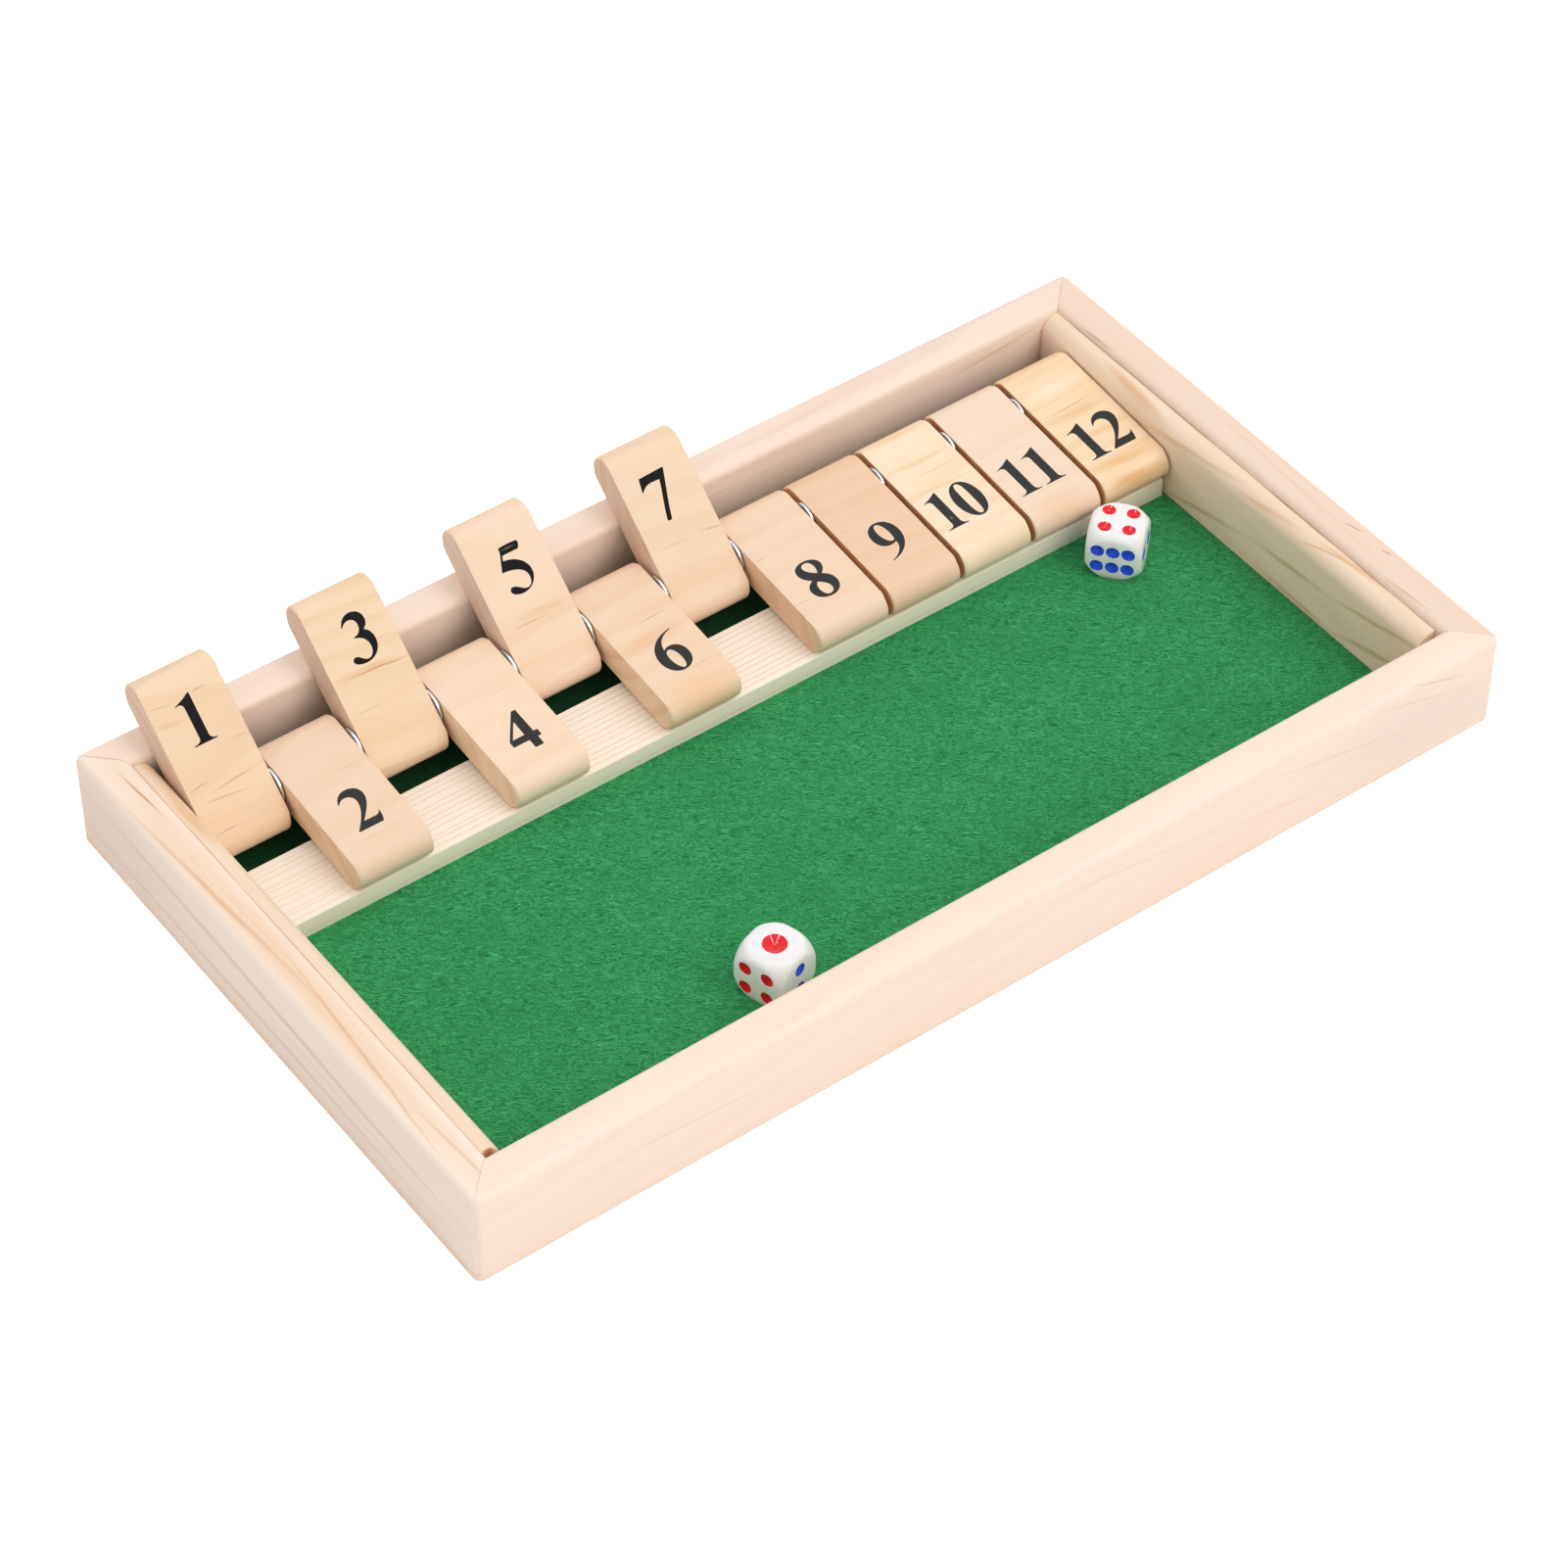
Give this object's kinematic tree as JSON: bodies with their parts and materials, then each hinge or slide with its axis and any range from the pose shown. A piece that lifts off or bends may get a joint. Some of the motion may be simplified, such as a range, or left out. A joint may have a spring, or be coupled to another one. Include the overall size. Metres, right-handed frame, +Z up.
{
  "type": "shut the box game",
  "caption": "Shallow wooden tray with a green felt floor, a row of number tiles hinged on one rod along its back, a bar they rest on, and loose dice.",
  "frame": {"origin": "centre of the underside of the box", "axes": "+X along the row of tiles from one to twelve, +Y towards the back rail, +Z up"},
  "size_m": [0.35, 0.199, 0.0507],
  "materials": {
    "pine": "pale sanded pine, matt",
    "tile_wood": "warm pale wood with fine cross grain, smooth and matt",
    "felt": "green felt with short fibres",
    "steel": "bright zinc",
    "die": "glossy white with painted pips"
  },
  "bodies": {
    "tray": {"base_board": "pine", "front_rail": "pine", "back_rail": "pine", "left_rail": "pine", "right_rail": "pine", "left_liner": "pine", "right_liner": "pine", "felt_mat": "felt", "rest_bar": "pine", "bar_nails": "steel", "pivot_rod": "steel", "washers": "steel"},
    "tile_01": {"tile_01": "tile_wood"},
    "tile_02": {"tile_02": "tile_wood"},
    "tile_03": {"tile_03": "tile_wood"},
    "tile_04": {"tile_04": "tile_wood"},
    "tile_05": {"tile_05": "tile_wood"},
    "tile_06": {"tile_06": "tile_wood"},
    "tile_07": {"tile_07": "tile_wood"},
    "tile_08": {"tile_08": "tile_wood"},
    "tile_09": {"tile_09": "tile_wood"},
    "tile_10": {"tile_10": "tile_wood"},
    "tile_11": {"tile_11": "tile_wood"},
    "tile_12": {"tile_12": "tile_wood"},
    "die_1": {"die_1": "die"},
    "die_2": {"die_2": "die"}
  },
  "joints": [
    {"name": "tile_01_hinge", "type": "hinge", "parent": "tray", "child": "tile_01", "pos_m": [0, 0.0667, 0.0203], "axis": [-1, 0, 0], "range_deg": [-143.9, 0]},
    {"name": "tile_02_hinge", "type": "hinge", "parent": "tray", "child": "tile_02", "pos_m": [0, 0.0667, 0.0203], "axis": [-1, 0, 0], "range_deg": [0, 143.9]},
    {"name": "tile_03_hinge", "type": "hinge", "parent": "tray", "child": "tile_03", "pos_m": [0, 0.0667, 0.0203], "axis": [-1, 0, 0], "range_deg": [-143.9, 0]},
    {"name": "tile_04_hinge", "type": "hinge", "parent": "tray", "child": "tile_04", "pos_m": [0, 0.0667, 0.0203], "axis": [-1, 0, 0], "range_deg": [0, 143.9]},
    {"name": "tile_05_hinge", "type": "hinge", "parent": "tray", "child": "tile_05", "pos_m": [0, 0.0667, 0.0203], "axis": [-1, 0, 0], "range_deg": [-143.9, 0]},
    {"name": "tile_06_hinge", "type": "hinge", "parent": "tray", "child": "tile_06", "pos_m": [0, 0.0667, 0.0203], "axis": [-1, 0, 0], "range_deg": [0, 143.9]},
    {"name": "tile_07_hinge", "type": "hinge", "parent": "tray", "child": "tile_07", "pos_m": [0, 0.0667, 0.0203], "axis": [-1, 0, 0], "range_deg": [-143.9, 0]},
    {"name": "tile_08_hinge", "type": "hinge", "parent": "tray", "child": "tile_08", "pos_m": [0, 0.0667, 0.0203], "axis": [-1, 0, 0], "range_deg": [0, 143.9]},
    {"name": "tile_09_hinge", "type": "hinge", "parent": "tray", "child": "tile_09", "pos_m": [0, 0.0667, 0.0203], "axis": [-1, 0, 0], "range_deg": [0, 143.9]},
    {"name": "tile_10_hinge", "type": "hinge", "parent": "tray", "child": "tile_10", "pos_m": [0, 0.0667, 0.0203], "axis": [-1, 0, 0], "range_deg": [0, 143.9]},
    {"name": "tile_11_hinge", "type": "hinge", "parent": "tray", "child": "tile_11", "pos_m": [0, 0.0667, 0.0203], "axis": [-1, 0, 0], "range_deg": [0, 143.9]},
    {"name": "tile_12_hinge", "type": "hinge", "parent": "tray", "child": "tile_12", "pos_m": [0, 0.0667, 0.0203], "axis": [-1, 0, 0], "range_deg": [0, 143.9]},
    {"name": "die_1_lift", "type": "slide", "parent": "tray", "child": "die_1", "axis": [0, 0, 1], "range_m": [0, 0.06]},
    {"name": "die_2_lift", "type": "slide", "parent": "tray", "child": "die_2", "axis": [0, 0, 1], "range_m": [0, 0.06]}
  ]
}
